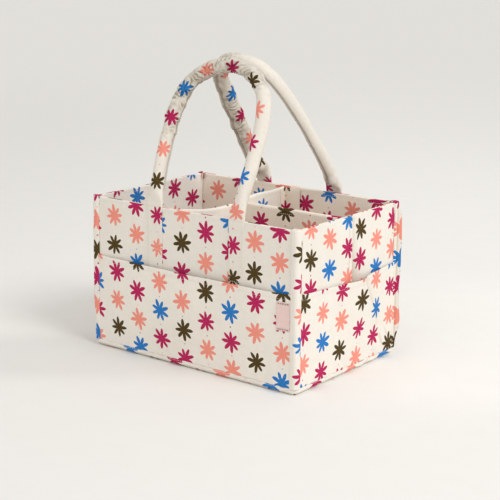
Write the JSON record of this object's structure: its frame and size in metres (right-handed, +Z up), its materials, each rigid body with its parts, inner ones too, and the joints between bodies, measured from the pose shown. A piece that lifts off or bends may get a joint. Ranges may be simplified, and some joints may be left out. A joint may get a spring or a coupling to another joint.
{
  "type": "fabric storage caddy",
  "caption": "Soft-walled open box of canvas over boards, with outside pockets, a removable T-shaped divider and padded carrying handles.",
  "frame": {"origin": "centre of the footprint on the surface that the caddy stands on", "axes": "+Z up; X along the long side, +X towards the end with the divider's wing; the front pocket with the tab faces -Y"},
  "size_m": [0.3584, 0.2464, 0.4039],
  "materials": {
    "canvas": "plain-weave cotton canvas with a printed flower pattern",
    "binding": "printed canvas strip, folded and topstitched",
    "pocket": "printed cotton canvas with a turned and topstitched hem",
    "lining": "printed cotton lining",
    "board": "stiff closed-cell board",
    "padding": "soft rolled wadding",
    "tape": "hook-and-loop tape",
    "tab": "plain woven ribbon"
  },
  "bodies": {
    "root": {"base_cloth": "canvas", "base_board": "board", "floor_lining": "lining", "front_panel": "canvas", "front_board": "board", "front_lining": "lining", "rear_panel": "canvas", "rear_board": "board", "rear_lining": "lining", "left_panel": "canvas", "left_board": "board", "left_lining": "lining", "right_panel": "canvas", "right_board": "board", "right_lining": "lining", "front_left_binding": "binding", "front_right_binding": "binding", "rear_right_binding": "binding", "rear_left_binding": "binding", "front_pocket": "pocket", "rear_pocket": "pocket", "left_pocket": "pocket", "right_pocket": "pocket", "side_tab": "tab", "front_strap_left": "canvas", "front_strap_right": "canvas", "rear_strap_left": "canvas", "rear_strap_right": "canvas", "front_loop_tape": "tape", "rear_loop_tape": "tape", "wing_loop_tape": "tape"},
    "front_handle": {"front_handle_cover": "canvas", "front_handle_core": "padding"},
    "rear_handle": {"rear_handle_cover": "canvas", "rear_handle_core": "padding"},
    "divider_insert": {"spine_cover": "lining", "spine_board": "board", "front_hook_tape": "tape", "rear_hook_tape": "tape"},
    "divider_wing": {"wing_cover": "lining", "wing_board": "board", "wing_hook_tape": "tape"}
  },
  "joints": [
    {"name": "front_handle_swing", "type": "hinge", "parent": "root", "child": "front_handle", "pos_m": [0.0084, -0.1163, 0.20825], "axis": [1, 0, 0], "range_deg": [0, 180]},
    {"name": "rear_handle_swing", "type": "hinge", "parent": "root", "child": "rear_handle", "pos_m": [0.006, 0.1163, 0.20825], "axis": [1, 0, 0], "range_deg": [-180, 0]},
    {"name": "divider_lift", "type": "slide", "parent": "root", "child": "divider_insert", "axis": [0, 0, 1], "range_m": [0, 0.136]},
    {"name": "wing_fold", "type": "hinge", "parent": "divider_insert", "child": "divider_wing", "pos_m": [-0.0087, -0.008, 0.1], "axis": [0, 0, 1], "range_deg": [-25, 0]}
  ]
}
